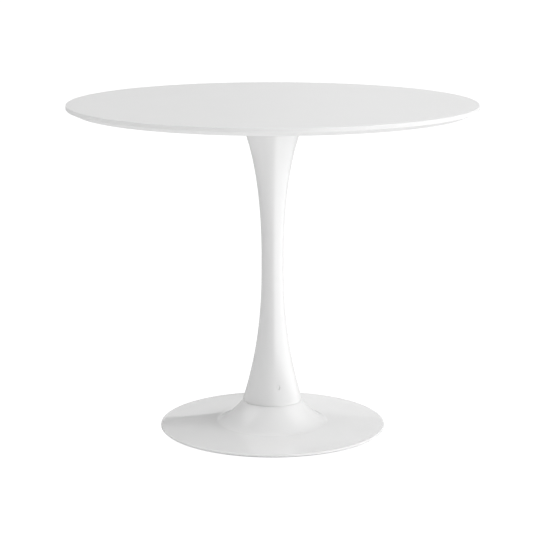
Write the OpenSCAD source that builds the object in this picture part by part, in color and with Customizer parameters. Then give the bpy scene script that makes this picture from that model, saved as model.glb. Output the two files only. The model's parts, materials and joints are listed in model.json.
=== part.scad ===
// Round pedestal table: a lacquered board on a slim trumpet column and a flat
// trumpet foot, drawn together by one rod through the middle. The column slides
// over a spigot on the foot and is locked there by one grub screw.
// Millimetres, +Z up, origin on the floor at the centre of the foot.

/* [Overall] */
// Height from the floor to the top of the board
table_h = 730; // [700:5:760]
// Diameter of the board
board_d = 900; // [800:10:1000]
// Diameter of the foot over its rim
foot_d = 504; // [480:4:560]

/* [Board] */
// Thickness of the board
board_t = 18; // [18:1:25]
// Height of the upright band round the edge, above the bevel
band_h = 8; // [5:0.5:11]
// Width of the bevel under the edge
bevel_w = 20; // [8:1:40]
// Radius of the rounding along the top corner of the edge
corner_r = 1.2; // [0.5:0.1:2]

/* [Column] */
// Radius of the column where it meets the foot
column_foot_r = 66.5; // [64:0.5:66.5]
// Lean of the column's side at the foot, from upright
column_foot_lean = 17; // [12:1:20]
// Radius of the column at its waist
waist_r = 24.5; // [22:0.5:30]
// Height of the waist above the floor
waist_h = 388; // [360:4:410]
// Radius of the column under the board
column_head_r = 78; // [72:1:84]
// Lean of the column's side under the board, from upright
column_head_lean = 27; // [20:1:32]
// Wall of the column, measured level
column_wall = 2; // [1.5:0.5:2.5]

/* [Foot] */
// Height of the seam between column and foot
seam_h = 60; // [58:1:66]
// Radius of the foot's neck at the seam
neck_r = 67; // [67:0.5:69]
// Lean of the neck's side at the seam, from upright
neck_lean = 19; // [17:1:22]
// Radius at which the neck bends out into the dish
bend_r = 126; // [122:1:130]
// Rise of the dish from the rim to the bend
dish_rise = 3.7; // [3:0.1:5]
// Slope of the dish at the rim, from level
rim_slope = 2.5; // [2:0.1:3]
// Wall of the foot
foot_wall = 2; // [1.5:0.5:2.5]
// Radius of the rounding along the rim
rim_r = 3; // [2.5:0.5:4]
// Thickness of the disc that closes the foot
bottom_t = 2.5; // [2.5:0.5:3]
// Height of the soft ring that the table stands on
floor_ring_h = 2; // [2:0.5:4]
// Height of the cast weight inside the foot
weight_h = 22; // [18:1:26]

/* [Fixings] */
// Height of the grub screw that locks the column on the foot
lock_h = 100; // [96:1:110]
// Turn of the grub screw about the column, from the front
lock_turn = 11; // [-90:1:90]
// Thickness of the steel disc under the board
top_plate_t = 5; // [4:1:6]
// Diameter of the steel disc under the board
top_plate_d = 280; // [260:10:320]
// Number of screws that hold the board
board_screws = 8; // [6:1:12]
// Diameter of the circle that the board's screws stand on
board_screw_circle = 240; // [220:10:250]
// Thickness of the seal ring in the seam
seal_t = 1; // [0.5:0.25:1.5]

/* [Hidden] */
$fn = 96;

lacquer_white = "#f2f2f0";
steel_white = "#f6f6f4";
zinc = "#b9bcc0";
cast_grey = "#4a4c4f";
soft_grey = "#9a9c9e";

// Steps along each long curve, and along each small rounding
curve_steps = 36;
round_steps = 6;

// Levels, from the floor up
bottom_z = floor_ring_h;
bottom_top_z = bottom_z + bottom_t;
rim_top_z = bottom_top_z + foot_wall;
neck_z = seam_h - seal_t / 2;
neck_inner_edge = 1;
column_z = seam_h + seal_t / 2;
board_z = table_h - board_t;
top_plate_z = board_z - top_plate_t;

// Rod that runs through the column, its nut and its washers (M12)
rod_r = 6;
rod_clearance = 0.5;
nut_h = 10;
nut_across = 18;
washer_r = 12;
washer_t = 2.5;
spring_r = 10.5;
spring_t = 3;
spring_gap = 2.5;
rod_past_nut = 3;

// Boss under the board's disc that the rod screws into
boss_r = 15;
boss_h = 30;
boss_spigot_r = 10;
boss_spigot_short = 0.5;
boss_spigot_h = top_plate_t - boss_spigot_short;
rod_in_boss = 26;

// Rings welded in the column
ring_t = 6;
ring_gap = 0.3;
head_ring_bore_r = 40;
lock_ring_t = 24;

// Dowels across the joint under the board (6 mm)
dowel_r = 3;
head_dowel_at = 58;
dowel_short = 1;

// Hub inside the foot, and the spigot that the column slides over
hub_r = 24;
spigot_r = 25;
spigot_slack = 0.1;
spigot_past_lock = 18;
spigot_bore_r = 18;
spigot_floor_t = 12;
hub_top_r = 58;
hub_top_t = 6;
hub_bottom_r = 48;
hub_bottom_t = 8;
nut_pocket_r = 17;
nut_pocket_h = 24;

// Grub screw (M8, with a dog point) and the cap over it
lock_thread_r = 4;
lock_dog_r = 2.75;
lock_dog_hole_r = 3;
lock_dog_from = 20;
lock_shank_from = 26;
lock_shank_to = 49;
lock_key_r = 2.3;
lock_key_depth = 4;
cap_r = 5.5;
cap_recess = 0.8;
cap_t = 1.1;

// Cast weight round the hub
weight_bore_r = 50;
weight_gap = 1;

// Screws of the board (M6 button head) and their sleeves
m6_r = 3;
m6_hole_r = 3.3;
m6_head_r = 5.25;
m6_head_h = 3.3;
m6_reach = 16.5;
m6_washer_r = 6.25;
m6_washer_t = 1.6;
m6_key_r = 2.3;
m6_key_depth = 2;
sleeve_r = 5;
sleeve_root_r = 4.5;
sleeve_l = 12;
sleeve_barbs = 6;
sleeve_hole_extra = 0.5;

// Screws under the foot (M5 countersunk)
m5_r = 2.5;
m5_head_r = 4.7;
m5_head_h = 2.2;
m5_key_r = 1.7;
m5_key_depth = 1.4;
hub_screw_l = 10;
hub_screw_circle_r = 37;
hub_screw_count = 6;
weight_screw_l = 14;
weight_screw_circle_r = 72;
weight_screw_count = 4;
weight_screw_turn = 45;

// Access hole for the nut in the bottom disc, and its plug
plug_r = 18;
plug_cap_r = 20;
plug_cap_t = 1;
plug_wall = 1.6;
plug_lock_z = 2;

// Soft ring
floor_ring_inset = 2.5;
floor_ring_w = 14;
floor_ring_chamfer = 0.5;
bottom_inset = 3.2;

// Overlap that lets a cut run clear of a face
over = 1;

// ---- Curves ----

// Point at t (0 to 1) on the cubic curve with the four control points in c
function curve_point(c, t) =
    pow(1 - t, 3) * c[0] + 3 * pow(1 - t, 2) * t * c[1]
    + 3 * (1 - t) * pow(t, 2) * c[2] + pow(t, 3) * c[3];

// Direction of that curve at t, one unit long
function curve_direction(c, t) =
    let (d = pow(1 - t, 2) * (c[1] - c[0]) + 2 * (1 - t) * t * (c[2] - c[1])
        + pow(t, 2) * (c[3] - c[2]))
    d / norm(d);

// Points along the curve, each moved to the curve's right by side
function curve_points(c, side = 0) = [
    for (i = [0 : curve_steps])
        let (t = i / curve_steps, d = curve_direction(c, t))
        curve_point(c, t) + side * [d[1], -d[0]]
];

// Points on an arc round centre from angle a to angle b
function arc_points(centre, r, a, b) = [
    for (i = [0 : round_steps])
        let (angle = a + (b - a) * i / round_steps)
        centre + r * [cos(angle), sin(angle)]
];

function reversed(list) = [for (i = [len(list) - 1 : -1 : 0]) list[i]];

function without_first(list) = [for (i = [1 : len(list) - 1]) list[i]];

// Column's side, as radius and height: from the foot to the waist, and on to the head
foot_pull = 150;
waist_pull_down = 74;
waist_pull_up = 116;
head_pull = 89;
lower_curve = [
    [column_foot_r, column_z],
    [column_foot_r, column_z] + foot_pull * [-sin(column_foot_lean), cos(column_foot_lean)],
    [waist_r, waist_h - waist_pull_down],
    [waist_r, waist_h]
];
upper_curve = [
    [waist_r, waist_h],
    [waist_r, waist_h + waist_pull_up],
    [column_head_r, top_plate_z] - head_pull * [sin(column_head_lean), cos(column_head_lean)],
    [column_head_r, top_plate_z]
];
column_side = concat(curve_points(lower_curve), without_first(curve_points(upper_curve)));

// Foot's side, as radius and height: down the neck to the bend, and out across the dish
neck_pull = 14;
bend_pull = 16;
bend_slope = 0.6;
foot_r = foot_d / 2;
bend = [bend_r, rim_top_z + dish_rise];
rim_centre = [foot_r - rim_r, rim_top_z - rim_r];
rim_start = rim_centre + rim_r * [sin(rim_slope), cos(rim_slope)];
dish_pull = (rim_start[0] - bend_r) / 3;
neck_curve = [
    [neck_r, neck_z],
    [neck_r, neck_z] + neck_pull * [sin(neck_lean), -cos(neck_lean)],
    bend + bend_pull * [-cos(bend_slope), sin(bend_slope)],
    bend
];
dish_curve = [
    bend,
    bend + dish_pull * [cos(bend_slope), -sin(bend_slope)],
    rim_start + dish_pull * [-cos(rim_slope), sin(rim_slope)],
    rim_start
];

// Points down the foot's side, each moved into the foot by side
function foot_points(side = 0) =
    concat(curve_points(neck_curve, side), without_first(curve_points(dish_curve, side)));

// Inner radius of the column at height z
function column_bore_r(z) =
    lookup(z, [for (p = column_side) [p[1], p[0] - column_wall]]);

// ---- Shared shapes ----

// Copies of the children in a ring of n, r from the axis
module ring_of(n, r, turn = 0) {
    for (i = [0 : n - 1])
        rotate([0, 0, turn + i * 360 / n])
            translate([r, 0, 0])
                children();
}

// Flat ring from height z up, t thick
module washer(outer_r, inner_r, z, t) {
    translate([0, 0, z])
        difference() {
            cylinder(r = outer_r, h = t);
            translate([0, 0, -over])
                cylinder(r = inner_r, h = t + 2 * over);
        }
}

// Upright hole or pin from height z up
module bar(r, z, h) {
    translate([0, 0, z])
        cylinder(r = r, h = h);
}

// Ring that fills the column from height z up, its edge parallel to the column's side
module column_ring(z, t, inner_r) {
    difference() {
        translate([0, 0, z])
            cylinder(r1 = column_bore_r(z) - ring_gap, r2 = column_bore_r(z + t) - ring_gap, h = t);
        bar(inner_r, z - over, t + 2 * over);
    }
}

// Level hole or pin out from the axis at the grub screw's place
module lock_bar(r, from, to, sides = 96) {
    translate([0, 0, lock_h])
        rotate([0, 0, lock_turn - 90])
            translate([from, 0, 0])
                rotate([0, 90, 0])
                    cylinder(r = r, h = to - from, $fn = sides);
}

// Button-head screw with its head's seat at z = 0 and its shank upwards
module button_screw(length) {
    difference() {
        union() {
            cylinder(r = m6_r, h = length);
            rotate_extrude()
                polygon(concat(
                    [[0, 0]],
                    [for (i = [0 : round_steps])
                        let (a = 90 * i / round_steps)
                        [m6_head_r * cos(a), -m6_head_h * sin(a)]]
                ));
        }
        translate([0, 0, -m6_head_h - over])
            cylinder(r = m6_key_r, h = m6_key_depth + over, $fn = 6);
    }
}

// Countersunk screw with its flat face at z = 0 and its shank upwards
module countersunk_screw(length) {
    difference() {
        union() {
            cylinder(r1 = m5_head_r, r2 = m5_r, h = m5_head_h);
            cylinder(r = m5_r, h = length);
        }
        translate([0, 0, -over])
            cylinder(r = m5_key_r, h = m5_key_depth + over, $fn = 6);
    }
}

// Hole in a plate for that screw
module countersunk_hole() {
    cylinder(r1 = m5_head_r, r2 = m5_r, h = m5_head_h);
    bar(m5_head_r, -over, over);
    bar(m5_r, 0, bottom_t + over);
}

// ---- Board and what holds it ----

module tabletop() {
    board_r = board_d / 2;
    bevel_corner_r = 1.5;
    band_z = table_h - band_h;
    bevel_angle = atan2(board_t - band_h, bevel_w);
    color(lacquer_white)
        difference() {
            rotate_extrude($fn = 360)
                polygon(concat(
                    [[0, board_z], [board_r - bevel_w, board_z]],
                    arc_points([board_r - bevel_corner_r, band_z], bevel_corner_r,
                        bevel_angle - 90, 0),
                    arc_points([board_r - corner_r, table_h - corner_r], corner_r, 0, 90),
                    [[0, table_h]]
                ));
            ring_of(board_screws, board_screw_circle / 2)
                bar(sleeve_r, board_z - over, sleeve_l + sleeve_hole_extra + over);
        }
}

// Barbed sleeve with an M6 thread, pressed into the board from below
module threaded_inserts() {
    barb_h = sleeve_l / sleeve_barbs;
    color(zinc)
        ring_of(board_screws, board_screw_circle / 2)
            translate([0, 0, board_z])
                rotate_extrude()
                    polygon(concat(
                        [[m6_r, 0]],
                        [for (i = [0 : sleeve_barbs - 1], step = [0, 1])
                            step == 0 ? [sleeve_r, i * barb_h]
                                : [sleeve_root_r, (i + 1) * barb_h]],
                        [[m6_r, sleeve_l]]
                    ));
}

module top_plate() {
    color(steel_white)
        difference() {
            bar(top_plate_d / 2, top_plate_z, top_plate_t);
            bar(boss_spigot_r, top_plate_z - over, top_plate_t + 2 * over);
            ring_of(board_screws, board_screw_circle / 2)
                bar(m6_hole_r, top_plate_z - over, top_plate_t + 2 * over);
            ring_of(2, head_dowel_at)
                bar(dowel_r, top_plate_z - over, top_plate_t + 2 * over);
        }
}

module top_plate_screws() {
    color(zinc)
        ring_of(board_screws, board_screw_circle / 2)
            translate([0, 0, top_plate_z - m6_washer_t])
                button_screw(m6_reach);
}

module top_plate_washers() {
    color(zinc)
        ring_of(board_screws, board_screw_circle / 2)
            washer(m6_washer_r, m6_hole_r, top_plate_z - m6_washer_t, m6_washer_t);
}

// Round nut welded under the board's disc, its spigot in the disc's middle hole
module rod_boss() {
    color(steel_white)
        difference() {
            union() {
                bar(boss_r, top_plate_z - boss_h, boss_h);
                bar(boss_spigot_r, top_plate_z, boss_spigot_h);
            }
            bar(rod_r, top_plate_z - boss_h - over, boss_h + over);
        }
}

module head_dowels() {
    color(zinc)
        ring_of(2, head_dowel_at)
            bar(dowel_r, top_plate_z - ring_t + dowel_short,
                ring_t + top_plate_t - 2 * dowel_short);
}

// ---- Column ----

module stem_head_ring() {
    ring_z = top_plate_z - ring_t;
    color(steel_white)
        difference() {
            column_ring(ring_z, ring_t, head_ring_bore_r);
            ring_of(2, head_dowel_at)
                bar(dowel_r, ring_z - over, ring_t + 2 * over);
        }
}

module stem_shell() {
    color(steel_white)
        difference() {
            rotate_extrude($fn = 180)
                polygon(concat(
                    column_side,
                    reversed([for (p = column_side) p - [column_wall, 0]])
                ));
            lock_bar(cap_r, spigot_r, column_foot_r);
        }
}

module stem_foot_ring() {
    color(steel_white)
        column_ring(column_z, ring_t, spigot_r + spigot_slack);
}

// Thick ring that guides the column on the spigot and takes the grub screw
module lock_ring() {
    color(steel_white)
        difference() {
            column_ring(lock_h - lock_ring_t / 2, lock_ring_t, spigot_r + spigot_slack);
            lock_bar(lock_thread_r, spigot_r - over, column_foot_r);
        }
}

module lock_screw() {
    color(zinc)
        difference() {
            union() {
                lock_bar(lock_dog_r, lock_dog_from, lock_shank_from);
                lock_bar(lock_thread_r, lock_shank_from, lock_shank_to);
            }
            lock_bar(lock_key_r, lock_shank_to - lock_key_depth, lock_shank_to + over, 6);
        }
}

// Plastic cap in the column's side, its face following the side and set back a little
module lock_screw_cap() {
    color(lacquer_white)
        intersection() {
            lock_bar(cap_r, spigot_r, column_foot_r);
            rotate_extrude($fn = 180)
                polygon(concat(
                    [for (p = column_side) p - [cap_recess, 0]],
                    reversed([for (p = column_side) p - [cap_recess + cap_t, 0]])
                ));
        }
}

nut_seat_z = bottom_top_z + nut_pocket_h;
nut_z = nut_seat_z - washer_t - spring_t - nut_h;

// Rod with chamfered ends
module tie_rod() {
    rod_z = nut_z - rod_past_nut;
    rod_top_z = top_plate_z - boss_h + rod_in_boss;
    chamfer = 1;
    color(zinc)
        rotate_extrude()
            polygon([
                [0, rod_z], [rod_r - chamfer, rod_z], [rod_r, rod_z + chamfer],
                [rod_r, rod_top_z - chamfer], [rod_r - chamfer, rod_top_z], [0, rod_top_z]
            ]);
}

// ---- Foot ----

// Seal ring, its edge a little inside the column's side
module seam_gasket() {
    seal_inset = 1;
    seal_w = 10;
    color(soft_grey)
        washer(column_foot_r - seal_inset, column_foot_r - seal_inset - seal_w,
            neck_z, seal_t);
}

// Spun foot: neck turned in at the seam, rim turned down at the edge
module base_shell() {
    neck_under_z = neck_z - foot_wall;
    inner = [for (p = foot_points(foot_wall)) if (p[1] < neck_under_z - neck_inner_edge) p];
    color(steel_white)
        rotate_extrude($fn = 360)
            polygon(concat(
                [[spigot_r, neck_z]],
                foot_points(),
                without_first(arc_points(rim_centre, rim_r, 90 - rim_slope, 0)),
                [[foot_r, bottom_z], [foot_r - foot_wall, bottom_z]],
                arc_points(rim_centre, rim_r - foot_wall, 0, 90 - rim_slope),
                without_first(reversed(inner)),
                [[inner[0][0] - foot_wall, neck_under_z], [spigot_r, neck_under_z]]
            ));
}

// Hub: lower flange on the disc, upper flange under the neck, spigot up into the column
module base_hub() {
    hub_top_z = neck_z - foot_wall;
    spigot_top_z = lock_h + spigot_past_lock;
    color(cast_grey)
        difference() {
            union() {
                bar(hub_bottom_r, bottom_top_z, hub_bottom_t);
                bar(hub_r, bottom_top_z, hub_top_z - bottom_top_z);
                bar(hub_top_r, hub_top_z - hub_top_t, hub_top_t);
                bar(spigot_r, hub_top_z, spigot_top_z - hub_top_z);
            }
            bar(nut_pocket_r, bottom_top_z - over, nut_pocket_h + over);
            bar(rod_r + rod_clearance, bottom_top_z, spigot_top_z);
            bar(spigot_bore_r, hub_top_z + spigot_floor_t, spigot_top_z);
            lock_bar(lock_dog_hole_r, 0, spigot_r + over);
            ring_of(hub_screw_count, hub_screw_circle_r)
                bar(m5_r, bottom_top_z - over, hub_bottom_t + 2 * over);
        }
}

// Cast ring whose top follows the underside of the foot
module base_weight() {
    weight_top_z = bottom_top_z + weight_h;
    slope = [
        for (p = curve_points(neck_curve, foot_wall + weight_gap))
            if (p[1] < weight_top_z) p
    ];
    edge_r = slope[len(slope) - 1][0];
    color(cast_grey)
        difference() {
            rotate_extrude()
                polygon(concat(
                    [[weight_bore_r, bottom_top_z], [weight_bore_r, weight_top_z],
                        [slope[0][0] - weight_gap, weight_top_z]],
                    slope,
                    [[edge_r, bottom_top_z]]
                ));
            ring_of(weight_screw_count, weight_screw_circle_r, weight_screw_turn)
                bar(m5_r, bottom_top_z - over, weight_screw_l - bottom_t + 2 * over);
        }
}

module bottom_plate() {
    color(zinc)
        difference() {
            bar(foot_r - bottom_inset, bottom_z, bottom_t);
            bar(plug_r, bottom_z - over, bottom_t + 2 * over);
            translate([0, 0, bottom_z]) {
                ring_of(hub_screw_count, hub_screw_circle_r)
                    countersunk_hole();
                ring_of(weight_screw_count, weight_screw_circle_r, weight_screw_turn)
                    countersunk_hole();
            }
        }
}

module hub_screws() {
    color(zinc)
        ring_of(hub_screw_count, hub_screw_circle_r)
            translate([0, 0, bottom_z])
                countersunk_screw(hub_screw_l);
}

module weight_screws() {
    color(zinc)
        ring_of(weight_screw_count, weight_screw_circle_r, weight_screw_turn)
            translate([0, 0, bottom_z])
                countersunk_screw(weight_screw_l);
}

// ---- Nut at the foot of the rod ----

module lower_washer() {
    color(zinc)
        washer(washer_r, rod_r + rod_clearance, nut_seat_z - washer_t, washer_t);
}

// Spring washer, split on one side
module lower_lock_washer() {
    spring_z = nut_seat_z - washer_t - spring_t;
    color(zinc)
        difference() {
            washer(spring_r, rod_r + rod_clearance, spring_z, spring_t);
            translate([0, -spring_gap / 2, spring_z - over])
                cube([spring_r + over, spring_gap, spring_t + 2 * over]);
        }
}

// Hexagon nut, its lower corners chamfered
module lower_nut() {
    corner = nut_across / 2 / cos(30);
    chamfer_h = 1.2;
    color(zinc)
        difference() {
            intersection() {
                translate([0, 0, nut_z])
                    cylinder(r = corner, h = nut_h, $fn = 6);
                translate([0, 0, nut_z])
                    rotate_extrude()
                        polygon([
                            [0, 0], [nut_across / 2, 0], [corner + over, chamfer_h],
                            [corner + over, nut_h], [0, nut_h]
                        ]);
            }
            bar(rod_r, nut_z - over, nut_h + 2 * over);
        }
}

// Plastic plug: cap below the disc, skirt in the access hole
module nut_plug() {
    color(soft_grey)
        difference() {
            union() {
                bar(plug_cap_r, bottom_z - plug_cap_t, plug_cap_t);
                bar(plug_r, bottom_z, bottom_t);
                bar(nut_pocket_r, bottom_top_z, plug_lock_z);
            }
            bar(nut_pocket_r - plug_wall, bottom_z, bottom_t + plug_lock_z + over);
        }
}

// Soft ring glued under the disc, close to its edge
module floor_ring() {
    outer_r = foot_r - floor_ring_inset - foot_wall;
    inner_r = outer_r - floor_ring_w;
    c = floor_ring_chamfer;
    color(soft_grey)
        rotate_extrude($fn = 360)
            polygon([
                [inner_r + c, 0], [outer_r - c, 0], [outer_r, c],
                [outer_r, floor_ring_h], [inner_r, floor_ring_h], [inner_r, c]
            ]);
}

tabletop();
threaded_inserts();
top_plate();
top_plate_screws();
top_plate_washers();
rod_boss();
head_dowels();
stem_head_ring();
stem_shell();
stem_foot_ring();
lock_ring();
lock_screw();
lock_screw_cap();
tie_rod();
seam_gasket();
base_shell();
base_hub();
base_weight();
bottom_plate();
hub_screws();
weight_screws();
lower_washer();
lower_lock_washer();
lower_nut();
nut_plug();
floor_ring();
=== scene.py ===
import json
import math

import bmesh
import bpy
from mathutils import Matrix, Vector


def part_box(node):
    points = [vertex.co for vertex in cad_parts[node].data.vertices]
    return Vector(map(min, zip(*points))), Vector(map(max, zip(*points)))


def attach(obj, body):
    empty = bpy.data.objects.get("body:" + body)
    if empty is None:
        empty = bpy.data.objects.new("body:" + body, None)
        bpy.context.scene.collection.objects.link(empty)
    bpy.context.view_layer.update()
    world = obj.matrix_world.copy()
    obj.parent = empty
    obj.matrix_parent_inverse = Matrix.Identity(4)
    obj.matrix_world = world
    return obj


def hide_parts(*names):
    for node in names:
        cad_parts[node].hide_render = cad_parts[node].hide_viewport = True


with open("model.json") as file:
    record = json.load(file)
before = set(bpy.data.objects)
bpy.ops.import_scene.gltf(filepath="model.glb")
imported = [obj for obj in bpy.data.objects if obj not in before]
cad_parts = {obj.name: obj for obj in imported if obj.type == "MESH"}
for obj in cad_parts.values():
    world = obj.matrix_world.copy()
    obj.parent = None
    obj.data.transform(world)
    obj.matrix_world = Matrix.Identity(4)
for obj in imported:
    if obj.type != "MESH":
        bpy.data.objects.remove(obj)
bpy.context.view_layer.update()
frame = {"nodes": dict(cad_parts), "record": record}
scene = bpy.context.scene

MM = 0.001


# ---- Camera, floor and light ------------------------------------------------

CAMERA_AWAY = 3.905        # from the column's axis, towards the front
CAMERA_ASIDE = -0.0057
CAMERA_UP = 1.162
CAMERA_DOWN_TILT = 11.656  # degrees
CAMERA_LENS = 119.38       # mm, on a 36 mm sensor

ROOM = 30.0                # half the width of the room, and the radius of the floor
FLOOR_GREY = 0.8
FLOOR_GLOW = 0.2
CLEAN_WHITE_GLOW = 1.05
SHADED_FLOOR_INSET = 2 * MM
SHADED_FLOOR_UP = 0.05 * MM


def make_camera():
    """A long lens from a little above the table's top, as furniture is photographed."""
    data = bpy.data.cameras.new("camera")
    data.lens = CAMERA_LENS
    data.clip_end = 200
    camera = bpy.data.objects.new("camera", data)
    scene.collection.objects.link(camera)
    camera.location = (CAMERA_ASIDE, -CAMERA_AWAY, CAMERA_UP)
    camera.rotation_euler = (math.radians(90 - CAMERA_DOWN_TILT), 0, 0)
    scene.camera = camera


def make_backdrop(name, corners, faces, color, glow):
    """A flat-faced piece of the studio, which is not part of the table."""
    mesh = bpy.data.meshes.new(name)
    mesh.from_pydata(corners, [], faces)
    backdrop = bpy.data.objects.new(name, mesh)
    scene.collection.objects.link(backdrop)
    material = bpy.data.materials.new(name)
    material.use_nodes = True
    surface = material.node_tree.nodes["Principled BSDF"]
    surface.inputs["Base Color"].default_value = (color, color, color, 1)
    surface.inputs["Roughness"].default_value = 0.9
    surface.inputs["Specular IOR Level"].default_value = 0
    surface.inputs["Emission Color"].default_value = (1, 1, 1, 1)
    surface.inputs["Emission Strength"].default_value = glow
    mesh.materials.append(material)
    return backdrop


def disc(radius, height, sides):
    """Corners and face of a level disc."""
    turns = [2 * math.pi * (k + 0.5) / sides for k in range(sides)]
    return [(radius * math.cos(a), radius * math.sin(a), height) for a in turns], [range(sides)]


def make_floor():
    """A pale floor that only lights the table from below: the camera and mirrored rays don't
    see it. The camera sees clean white, and the shaded floor right under the foot."""
    floor = make_backdrop("studio_floor", *disc(ROOM, 0, 4), FLOOR_GREY, FLOOR_GLOW)
    floor.visible_camera = False
    floor.visible_glossy = False
    under_foot = disc(FOOT_R - SHADED_FLOOR_INSET, SHADED_FLOOR_UP, 256)
    make_backdrop("floor_under_foot", *under_foot, FLOOR_GREY, FLOOR_GLOW)
    ends = (-ROOM, ROOM)
    corners = [(x, y, z) for x in ends for y in ends for z in ends]
    sides = [(0, 1, 3, 2), (4, 6, 7, 5), (0, 4, 5, 1), (2, 3, 7, 6), (0, 2, 6, 4), (1, 5, 7, 3)]
    white = make_backdrop("clean_white", corners, sides, 0, CLEAN_WHITE_GLOW)
    white.visible_diffuse = False
    white.visible_glossy = False
    white.visible_transmission = False
    white.visible_shadow = False


# How bright the studio is seen from the table, in each direction. A bearing is in degrees from
# straight behind the table, and positive to its right. Each wall starts at its bearing, blends
# in over the given softness, and has (degrees above level, brightness) up to the ceiling. The
# levels began as a least-squares balance of the light, and were then rounded and adjusted.
FIRST_WALL = ((0, 0.06), (34, 0.1), (46, 0.8), (60, 0.95), (72, 1.09))
WALLS = (
    (-120, 22, ((0, 0.32), (18, 0.26), (28, 1.3), (50, 2.2), (60, 2.0), (72, 1.09))),
    (-60, 15, ((0, 0.44), (18, 0.36), (30, 0.5), (60, 0.7), (72, 1.09))),
    (-9, 2, ((0, 0.4), (10, 0.3), (14, 0.0), (16.4, 0.04), (17.6, 0.31), (23, 0.28),
             (34, 0.42), (60, 0.7), (72, 1.09))),
    (0, 1, ((0, 0.62), (14, 0.9), (19, 0.84), (23, 0.56), (40, 0.46), (60, 0.4), (72, 1.09))),
    (9, 2, ((0, 0.68), (18, 0.64), (26, 0.5), (60, 0.4), (72, 1.09))),
    (60, 20, ((0, 2.08), (22, 1.93), (40, 1.75), (60, 1.85), (72, 1.09))),
    (125, 20, ((0, 2.75), (15, 2.5), (22, 1.7), (30, 0.4), (60, 0.5), (72, 1.09))),
    (166, 14, FIRST_WALL),
)
BRIGHTEST = 4

# The lit sheet stands straight behind the table, brighter on its right half.
SHEET_HALF_WIDTH = 9
SHEET_LOW = 11
SHEET_TOP = 15.4
SHEET_LEFT = 0.66
SHEET_RIGHT = 1.0

# The bright wall on the right lights the table in full, but is mirrored as a grey one, so that
# it doesn't burn out the board and the foot when they are seen from the left.
# Each edge is (degrees, softness).
MIRRORED_GREY = 0.62
MIRRORED_FROM = (48, 10)
MIRRORED_TO = (166, 14)
MIRRORED_LOW = (7, 3)
MIRRORED_TOP = (28, 8)


def make_world():
    """The light round the table: soft walls, and a lit sheet low behind it."""
    world = bpy.data.worlds.new("studio")
    world.use_nodes = True
    tree = world.node_tree
    background = tree.nodes["Background"]

    def add(kind, *sources):
        """A node whose first sockets are set to the numbers or linked to the outputs given."""
        node = tree.nodes.new(kind)
        for socket, source in enumerate(sources):
            if isinstance(source, (int, float)):
                node.inputs[socket].default_value = source
            else:
                tree.links.new(source, node.inputs[socket])
        return node

    def maths(operation, *sources):
        node = add("ShaderNodeMath", *sources)
        node.operation = operation
        return node.outputs["Value"]

    axes = add("ShaderNodeSeparateXYZ", add("ShaderNodeTexCoord").outputs["Generated"]).outputs
    turn = maths("ARCTAN2", axes["X"], axes["Y"])
    bearing = maths("MULTIPLY", turn, 180 / math.pi)
    rise = maths("MULTIPLY", maths("ARCSINE", axes["Z"]), 2 / math.pi)

    def wall(stops):
        """The colour of a wall at the height looked at."""
        ramp = add("ShaderNodeValToRGB", rise)
        elements = ramp.color_ramp.elements
        while len(elements) < len(stops):
            elements.new(1)
        for element, (degrees, level) in zip(elements, stops):
            element.position = degrees / 90
            element.color = (level / BRIGHTEST,) * 3 + (1,)
        return ramp.outputs["Color"]

    def past(angle, edge, softness):
        """0 below the edge and 1 above it, in degrees."""
        node = add("ShaderNodeMapRange", angle, edge - softness, edge + softness)
        node.interpolation_type = "SMOOTHSTEP"
        return node.outputs["Result"]

    def blend(share, first, second):
        node = tree.nodes.new("ShaderNodeMix")
        node.data_type = "RGBA"
        tree.links.new(share, node.inputs["Factor"])
        tree.links.new(first, node.inputs[6])
        tree.links.new(second, node.inputs[7])
        return node.outputs[2]

    light = wall(FIRST_WALL)
    for start, softness, stops in WALLS:
        light = blend(past(bearing, start, softness), light, wall(stops))
    degrees = maths("MULTIPLY", rise, 90)
    across = maths("SUBTRACT", past(bearing, -SHEET_HALF_WIDTH, 2),
                   past(bearing, SHEET_HALF_WIDTH, 2))
    upright = maths("SUBTRACT", past(degrees, SHEET_LOW, 1.2), past(degrees, SHEET_TOP, 0.05))
    level = maths("MULTIPLY_ADD", past(bearing, 0, 1), (SHEET_RIGHT - SHEET_LEFT) / BRIGHTEST,
                  SHEET_LEFT / BRIGHTEST)
    sheet = add("ShaderNodeCombineXYZ", level, level, level).outputs["Vector"]
    light = blend(maths("MULTIPLY", across, upright), light, sheet)

    mirrored = add("ShaderNodeLightPath").outputs["Is Glossy Ray"]
    right = maths("SUBTRACT", past(bearing, *MIRRORED_FROM), past(bearing, *MIRRORED_TO))
    low = maths("SUBTRACT", past(degrees, *MIRRORED_LOW), past(degrees, *MIRRORED_TOP))
    share = maths("MULTIPLY", mirrored, maths("MULTIPLY", right, low))
    grey = add("ShaderNodeCombineXYZ", *(MIRRORED_GREY / BRIGHTEST,) * 3).outputs["Vector"]
    light = blend(share, light, grey)
    tree.links.new(light, background.inputs["Color"])
    background.inputs["Strength"].default_value = BRIGHTEST
    scene.world = world


# ---- Outlines ---------------------------------------------------------------
# An outline is a list of (radius, height) in metres, turned about the column's axis.

def cubic(ends_and_pulls, steps):
    """Points on the cubic curve with these four control points."""
    a, b, c, d = (Vector(p) for p in ends_and_pulls)
    points = []
    for i in range(steps + 1):
        t = i / steps
        points.append((1 - t) ** 3 * a + 3 * (1 - t) ** 2 * t * b
                      + 3 * (1 - t) * t ** 2 * c + t ** 3 * d)
    return points


def arc(centre, radius, start, stop, steps=8):
    """Points on an arc, from angle start to angle stop in degrees."""
    points = []
    for i in range(steps + 1):
        angle = math.radians(start + (stop - start) * i / steps)
        points.append(Vector(centre) + radius * Vector((math.cos(angle), math.sin(angle))))
    return points


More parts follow.
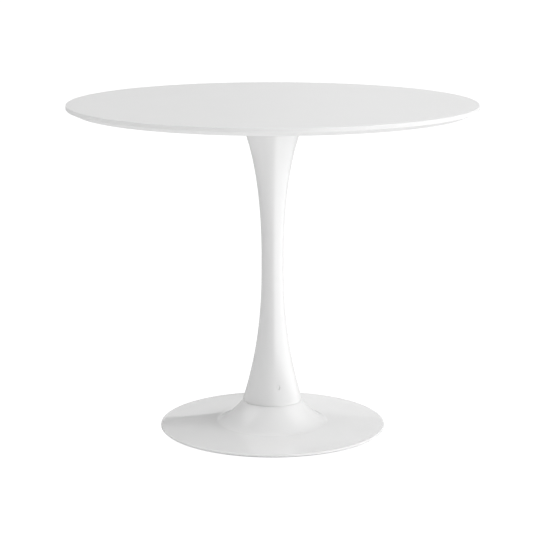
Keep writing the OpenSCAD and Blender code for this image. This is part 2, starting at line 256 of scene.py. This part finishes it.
def moved_right(points, distance):
    """Every point moved to the line's right by distance."""
    moved = []
    for i, point in enumerate(points):
        along = points[min(i + 1, len(points) - 1)] - points[max(i - 1, 0)]
        along.normalize()
        moved.append(point + distance * Vector((along.y, -along.x)))
    return moved


def lean(degrees, length):
    """A step of that length, leaning outwards from upright."""
    angle = math.radians(degrees)
    return length * Vector((math.sin(angle), math.cos(angle)))


# ---- Meshes -----------------------------------------------------------------

SHARP_EDGE = 30            # degrees; a gentler edge is shaded smooth
ON_AXIS = 1e-6


def lathe(name, outline, segments=256, ring=False):
    """The outline turned about Z. A ring's outline is closed, and never meets the axis."""
    made = bmesh.new()
    rows = []
    for radius, height in outline:
        if radius < ON_AXIS:
            rows.append([made.verts.new((0, 0, height))])
            continue
        rows.append([
            made.verts.new((radius * math.cos(a), radius * math.sin(a), height))
            for a in (2 * math.pi * k / segments for k in range(segments))
        ])
    pairs = list(zip(rows, rows[1:]))
    if ring:
        pairs.append((rows[-1], rows[0]))
    for low, high in pairs:
        for k in range(segments):
            after = (k + 1) % segments
            if len(low) == 1:
                made.faces.new((low[0], high[after], high[k]))
            elif len(high) == 1:
                made.faces.new((low[k], low[after], high[0]))
            else:
                made.faces.new((low[k], low[after], high[after], high[k]))
    return piece_from(made, name)


def piece_from(made, name):
    """An object with that name from the bmesh, smooth but for its sharp edges."""
    bmesh.ops.recalc_face_normals(made, faces=made.faces)
    mesh = bpy.data.meshes.new(name)
    made.to_mesh(mesh)
    made.free()
    mesh.shade_smooth()
    mesh.set_sharp_from_angle(angle=math.radians(SHARP_EDGE))
    piece = bpy.data.objects.new(name, mesh)
    scene.collection.objects.link(piece)
    return piece


def finish_piece(piece, node, material):
    """The piece takes the CAD node's place, on the one body that the table is."""
    piece.data.materials.clear()
    piece.data.materials.append(material)
    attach(piece, "root")
    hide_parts(node)


# ---- Materials --------------------------------------------------------------

class Nodes:
    """Adds shader nodes to a material and links them, in few words."""

    def __init__(self, name):
        self.material = bpy.data.materials.new(name)
        self.material.use_nodes = True
        self.tree = self.material.node_tree
        self.surface = self.tree.nodes["Principled BSDF"]
        self.place = self.add("ShaderNodeTexCoord").outputs["Object"]

    def add(self, kind, links=None, **values):
        """A node with these properties, and with its sockets linked to these outputs."""
        node = self.tree.nodes.new(kind)
        for key, value in values.items():
            setattr(node, key, value)
        for socket, source in (links or {}).items():
            self.tree.links.new(source, node.inputs[socket])
        return node

    def noise(self, size, detail=2.0, roughness=0.5):
        """Noise whose largest features are about size metres."""
        node = self.add("ShaderNodeTexNoise", {"Vector": self.place})
        node.inputs["Scale"].default_value = 1 / size
        node.inputs["Detail"].default_value = detail
        node.inputs["Roughness"].default_value = roughness
        return node.outputs["Fac"]

    def spread(self, source, low, high, from_low=0.3, from_high=0.7):
        """The source's range, most of a noise's by default, brought to low and high."""
        node = self.add("ShaderNodeMapRange", {"Value": source})
        for socket, value in (("From Min", from_low), ("From Max", from_high),
                              ("To Min", low), ("To Max", high)):
            node.inputs[socket].default_value = value
        return node.outputs["Result"]

    def blend(self, factor, first, second):
        """Colour that goes from first to second as factor goes from 0 to 1."""
        node = self.add("ShaderNodeMix", {"Factor": factor}, data_type="RGBA")
        node.inputs[6].default_value = (*first, 1)
        node.inputs[7].default_value = (*second, 1)
        return node.outputs[2]

    def bump(self, height, depth):
        """Surface relief of about depth metres."""
        node = self.add("ShaderNodeBump", {"Height": height})
        node.inputs["Distance"].default_value = depth
        return node.outputs["Normal"]

    def set(self, **values):
        """Sockets of the surface: a number or colour is set on the socket, an output is linked."""
        names = {"color": "Base Color", "roughness": "Roughness", "metallic": "Metallic",
                 "normal": "Normal", "specular": "Specular IOR Level"}
        for key, value in values.items():
            socket = self.surface.inputs[names[key]]
            if isinstance(value, bpy.types.NodeSocket):
                self.tree.links.new(value, socket)
            else:
                socket.default_value = (*value, 1) if isinstance(value, tuple) else value
        return self.material


def board_lacquer():
    """Satin white lacquer on board: fine spray texture, a little uneven in sheen."""
    n = Nodes("board_lacquer")
    cloud = n.noise(0.09, 3)
    spray = n.noise(0.0011, 2, 0.6)
    return n.set(
        color=n.blend(n.spread(cloud, 0, 1), (0.80, 0.80, 0.798), (0.812, 0.812, 0.81)),
        roughness=n.spread(cloud, 0.40, 0.44),
        normal=n.bump(spray, 0.000012),
        specular=0.5,
    )


def powder_coat():
    """Glossy white powder coat with a very slight orange-peel ripple."""
    n = Nodes("white_coat")
    peel = n.noise(0.003, 2, 0.4)
    cloud = n.noise(0.06, 2)
    return n.set(
        color=n.blend(n.spread(cloud, 0, 1), (0.80, 0.80, 0.80), (0.81, 0.81, 0.808)),
        roughness=n.spread(cloud, 0.02, 0.03),
        normal=n.bump(peel, 0.0000008),
        specular=0.5,
    )


def soft_rubber(name, light, dark):
    """Matt rubber with a fine moulded grain."""
    n = Nodes(name)
    speck = n.noise(0.0008, 3, 0.6)
    cloud = n.noise(0.02, 2)
    return n.set(
        color=n.blend(n.spread(cloud, 0, 1), dark, light),
        roughness=n.spread(speck, 0.62, 0.75),
        normal=n.bump(speck, 0.00004),
        specular=0.35,
    )


def plated_steel(name, light, dark):
    """Zinc-plated or plain steel: fine mottling, slightly uneven gloss."""
    n = Nodes(name)
    mottle = n.noise(0.003, 4, 0.6)
    return n.set(
        color=n.blend(n.spread(mottle, 0, 1), dark, light),
        metallic=1.0,
        roughness=n.spread(mottle, 0.28, 0.42),
        normal=n.bump(n.noise(0.0005, 2), 0.00001),
    )


def galvanised_sheet():
    """Galvanised steel: faint flat crystals, each with its own grey and gloss."""
    n = Nodes("plate_zinc")
    crystals = n.add("ShaderNodeTexVoronoi", {"Vector": n.place}, feature="F1")
    crystal_size = 0.011
    crystals.inputs["Scale"].default_value = 1 / crystal_size
    crystals.inputs["Randomness"].default_value = 1.0
    shade = n.add("ShaderNodeSeparateColor", {"Color": crystals.outputs["Color"]})
    grey = n.spread(shade.outputs["Red"], 0, 1, 0, 1)
    return n.set(
        color=n.blend(grey, (0.54, 0.55, 0.57), (0.63, 0.64, 0.66)),
        metallic=1.0,
        roughness=n.spread(shade.outputs["Green"], 0.36, 0.46, 0, 1),
        normal=n.bump(n.noise(0.0009, 3), 0.00001),
    )


def cast_iron():
    """Black primer over a sand-cast skin."""
    n = Nodes("cast_iron")
    skin = n.noise(0.0016, 4, 0.65)
    return n.set(
        color=n.blend(n.spread(skin, 0, 1), (0.02, 0.02, 0.022), (0.05, 0.05, 0.052)),
        roughness=n.spread(skin, 0.5, 0.7),
        normal=n.bump(skin, 0.00025),
    )


def moulded_plastic(name, light, dark, roughness):
    """Moulded plastic with a fine even grain."""
    n = Nodes(name)
    grain = n.noise(0.0006, 2)
    return n.set(
        color=n.blend(n.spread(n.noise(0.01), 0, 1), dark, light),
        roughness=n.spread(grain, roughness, roughness + 0.06),
        normal=n.bump(grain, 0.00001),
    )


# ---- Sizes, read from the CAD boxes -----------------------------------------

board_low, board_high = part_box("tabletop")
BOARD_R = board_high.x
BOARD_UNDER = board_low.z
BOARD_TOP = board_high.z
BAND_H = 8 * MM
BEVEL_W = 20 * MM
CORNER_R = 1.2 * MM
BEVEL_CORNER_R = 1.5 * MM
UNDER_CORNER_R = 1 * MM
UNDER_CORNER_IN = 0.2 * MM  # the bevel's lower corner starts this much further in
FACE_RINGS = 12            # the flat faces' mesh, from the axis to the edge

column_low, column_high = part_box("stem_shell")
COLUMN_FOOT = column_low.z
COLUMN_HEAD = column_high.z
COLUMN_HEAD_R = column_high.x
COLUMN_FOOT_R = 66.5 * MM
WAIST = Vector((24.5, 388)) * MM
COLUMN_WALL = 2 * MM
FOOT_LEAN = 17             # degrees from upright, and inwards
FOOT_PULL = 150 * MM
WAIST_PULL_DOWN = 74 * MM
WAIST_PULL_UP = 116 * MM
HEAD_LEAN = 27             # degrees from upright, and outwards
HEAD_PULL = 89 * MM
HOLE_LIP_R = 0.2 * MM

foot_low, foot_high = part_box("base_shell")
FOOT_R = foot_high.x
FOOT_UNDER = foot_low.z
NECK_R = 67 * MM
NECK_LEAN = 19             # degrees from upright
NECK_PULL = 14 * MM
NECK = foot_high.z
BEND_R = 126 * MM
BEND_SLOPE = 0.6           # degrees from level
BEND_PULL = 16 * MM
DISH_RISE = 3.7 * MM
RIM_SLOPE = 2.5            # degrees from level
RIM_R = 3 * MM
FOOT_WALL = 2 * MM
FOOT_BORE_R = 25 * MM
SEAM_CORNER_R = 0.28 * MM
SEAL_WIDTH = 10 * MM
SEAL_CHAMFER = 0.12 * MM
RIM_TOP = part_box("bottom_plate")[1].z + FOOT_WALL


# ---- Pieces -----------------------------------------------------------------

def make_board(material):
    """The board: flat faces, a small upright band, a bevel under it, corners eased."""
    tilt = math.degrees(math.atan2(BOARD_TOP - BAND_H - BOARD_UNDER, BEVEL_W))
    outline = [Vector((0, BOARD_UNDER))]
    outline += [Vector((BOARD_R * k / FACE_RINGS, BOARD_UNDER)) for k in range(1, FACE_RINGS - 1)]
    outline += arc((BOARD_R - BEVEL_W - UNDER_CORNER_IN, BOARD_UNDER + UNDER_CORNER_R),
                   UNDER_CORNER_R, -90, tilt - 90, 4)
    outline += arc((BOARD_R - BEVEL_CORNER_R, BOARD_TOP - BAND_H), BEVEL_CORNER_R,
                   tilt - 90, 0, 6)
    outline += arc((BOARD_R - CORNER_R, BOARD_TOP - CORNER_R), CORNER_R, 0, 90, 8)
    outline += [Vector((BOARD_R * k / FACE_RINGS, BOARD_TOP)) for k in range(FACE_RINGS - 1, 0, -1)]
    outline += [Vector((0, BOARD_TOP))]
    board = lathe("board", outline, segments=384)
    finish_piece(board, "tabletop", material)


def column_side():
    """The column's outer side, from its foot to its head."""
    foot = Vector((COLUMN_FOOT_R, COLUMN_FOOT))
    head = Vector((COLUMN_HEAD_R, COLUMN_HEAD))
    lower = cubic([foot, foot + lean(-FOOT_LEAN, FOOT_PULL),
                   WAIST - lean(0, WAIST_PULL_DOWN), WAIST], 62)
    upper = cubic([WAIST, WAIST + lean(0, WAIST_PULL_UP),
                   head - lean(HEAD_LEAN, HEAD_PULL), head], 54)
    corner = arc(foot + Vector((-SEAM_CORNER_R, SEAM_CORNER_R)), SEAM_CORNER_R, -90, 0, 4)
    return corner + lower[1:] + upper[1:]


def radius_at(side, height):
    """The radius of a side at that height, straight between its points."""
    for low, high in zip(side, side[1:]):
        if low.y <= height <= high.y:
            return low.x + (high.x - low.x) * (height - low.y) / (high.y - low.y)
    return side[-1].x


def make_column(material):
    """The column: a thin waisted shell with one round, level hole low on its front."""
    side = column_side()
    screw_low, screw_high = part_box("lock_screw")
    cap_low, cap_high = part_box("lock_screw_cap")
    outward = (screw_low + screw_high) / 2
    outward.z = 0
    outward.normalize()
    aside = Vector((-outward.y, outward.x, 0))
    hole_z = (cap_low.z + cap_high.z) / 2
    hole_r = (cap_high.z - cap_low.z) / 2
    segments = 288
    step = 2 * math.pi / segments
    made = bmesh.new()

    def point(radius, turn, height):
        return (outward * math.cos(turn) + aside * math.sin(turn)) * radius \
            + Vector((0, 0, height))

    def wall_point(inset, u, height, depth=0.0):
        """The place on the wall that lies u to the side of the hole's axis."""
        radius = radius_at(side, height) - inset
        return outward * (math.sqrt(radius ** 2 - u ** 2) - depth) + aside * u \
            + Vector((0, 0, height))

    def grid(inset):
        return [[made.verts.new(point(p.x - inset, k * step, p.y)) for k in range(segments)]
                for p in side]

    outer, inner = grid(0), grid(COLUMN_WALL)
    half_k = 9                 # grid columns left out on each side of the hole
    clear = 1.9 * hole_r       # and the height left out above and below its axis
    rows_low = max(i for i, p in enumerate(side) if p.y < hole_z - clear)
    rows_high = min(i for i, p in enumerate(side) if p.y > hole_z + clear)
    for rows in (outer, inner):
        for i in range(len(side) - 1):
            for k in range(segments):
                near = k < half_k or k >= segments - half_k
                if near and rows_low <= i < rows_high:
                    continue
                after = (k + 1) % segments
                made.faces.new((rows[i][k], rows[i][after], rows[i + 1][after], rows[i + 1][k]))
    for end in (0, -1):
        for k in range(segments):
            after = (k + 1) % segments
            made.faces.new((outer[end][k], outer[end][after], inner[end][after], inner[end][k]))

    around = [(k, rows_low) for k in range(-half_k, half_k)]
    around += [(half_k, i) for i in range(rows_low, rows_high)]
    around += [(k, rows_high) for k in range(half_k, -half_k, -1)]
    around += [(-half_k, i) for i in range(rows_high, rows_low, -1)]

    def loop(rows):
        return [rows[i][k % segments] for k, i in around]

    def ring(inset, share, extra=0.0, depth=0.0):
        """A ring between the hole, share 0, and the grid around it, share 1."""
        verts = []
        for k, i in around:
            to_grid = Vector(((side[i].x - inset) * math.sin(k * step), side[i].y - hole_z))
            reach = hole_r + extra + (to_grid.length - hole_r - extra) * share
            u, v = reach * to_grid.normalized()
            verts.append(made.verts.new(wall_point(inset, u, hole_z + v, depth)))
        return verts

    lip = HOLE_LIP_R
    rings = [loop(outer)]
    rings += [ring(0, share, lip) for share in (0.7, 0.45, 0.25, 0.1, 0)]
    for degrees in (30, 60, 90):
        angle = math.radians(degrees)
        rings.append(ring(0, 0, lip * (1 - math.sin(angle)), lip * (1 - math.cos(angle))))
    rings += [ring(0, 0, 0, 1.2 * MM), ring(COLUMN_WALL, 0), ring(COLUMN_WALL, 0.4)]
    rings.append(loop(inner))
    for first, second in zip(rings, rings[1:]):
        for j in range(len(around)):
            after = (j + 1) % len(around)
            made.faces.new((first[j], first[after], second[after], second[j]))
    column = piece_from(made, "column")
    finish_piece(column, "stem_shell", material)


def foot_side():
    """The foot's outer side: down the neck, round the bend, and out across the dish."""
    neck = Vector((NECK_R, NECK))
    bend = Vector((BEND_R, RIM_TOP + DISH_RISE))
    centre = Vector((FOOT_R - RIM_R, RIM_TOP - RIM_R))
    rim = centre + lean(RIM_SLOPE, RIM_R)
    pull = (rim.x - bend.x) / 3
    down_neck = cubic([neck, neck + lean(180 - NECK_LEAN, NECK_PULL),
                       bend - lean(90 + BEND_SLOPE, BEND_PULL), bend], 70)
    across = cubic([bend, bend + lean(90 + BEND_SLOPE, pull),
                    rim - lean(90 + RIM_SLOPE, pull), rim], 30)
    return down_neck + across[1:]


def make_foot(material):
    """The foot: neck, dish, rounded rim and turned-down hem, as one thin shell."""
    side = foot_side()
    inside = [p for p in moved_right(side, FOOT_WALL) if p.y < NECK - FOOT_WALL - 1 * MM]
    centre = (FOOT_R - RIM_R, RIM_TOP - RIM_R)
    bore = FOOT_BORE_R
    corner = arc((NECK_R - SEAM_CORNER_R, NECK - SEAM_CORNER_R), SEAM_CORNER_R, 90, 0, 4)
    outline = [Vector((bore, NECK))] + corner + side[1:] + arc(centre, RIM_R, 90 - RIM_SLOPE, 0)[1:]
    outline += [Vector((FOOT_R, FOOT_UNDER)), Vector((FOOT_R - FOOT_WALL, FOOT_UNDER))]
    outline += arc(centre, RIM_R - FOOT_WALL, 0, 90 - RIM_SLOPE, 4) + list(reversed(inside))[1:]
    outline += [Vector((inside[0].x - FOOT_WALL, NECK - FOOT_WALL)),
                Vector((bore, NECK - FOOT_WALL))]
    foot = lathe("foot", outline, segments=384, ring=True)
    finish_piece(foot, "base_shell", material)


def make_seal(material):
    """The thin seal between column and foot, its outer edge a little chamfered."""
    low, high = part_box("seam_gasket")
    outer, inner = high.x, high.x - SEAL_WIDTH
    edge = SEAL_CHAMFER
    outline = [Vector((inner, low.z)), Vector((outer - edge, low.z)),
               Vector((outer, low.z + edge)), Vector((outer, high.z - edge)),
               Vector((outer - edge, high.z)), Vector((inner, high.z))]
    finish_piece(lathe("seal", outline, ring=True), "seam_gasket", material)


def dress_cad_nodes(materials):
    """Every CAD node that keeps its own mesh gets its material."""
    slots = {row["node"]: row["material_slot"] for row in frame["record"]["subparts"]}
    for name, piece in frame["nodes"].items():
        piece.data.materials.clear()
        piece.data.materials.append(materials[slots[name]])


make_camera()
make_floor()
make_world()

materials = {
    "board_lacquer": board_lacquer(),
    "white_coat": powder_coat(),
    "white_plastic": moulded_plastic("white_plastic", (0.8, 0.8, 0.798), (0.79, 0.79, 0.788), 0.2),
    "seal_rubber": soft_rubber("seal_rubber", (0.91, 0.91, 0.905), (0.89, 0.89, 0.885)),
    "ring_rubber": soft_rubber("ring_rubber", (0.20, 0.20, 0.20), (0.15, 0.15, 0.15)),
    "grey_plastic": moulded_plastic("grey_plastic", (0.2, 0.2, 0.205), (0.17, 0.17, 0.175), 0.45),
    "zinc": plated_steel("zinc", (0.66, 0.67, 0.69), (0.54, 0.55, 0.57)),
    "bright_steel": plated_steel("bright_steel", (0.5, 0.5, 0.51), (0.4, 0.4, 0.41)),
    "plate_zinc": galvanised_sheet(),
    "cast_iron": cast_iron(),
}
dress_cad_nodes(materials)
make_board(materials["board_lacquer"])
make_column(materials["white_coat"])
make_foot(materials["white_coat"])
make_seal(materials["seal_rubber"])
scene.view_settings.view_transform = "Standard"
scene.view_settings.exposure = 0.06
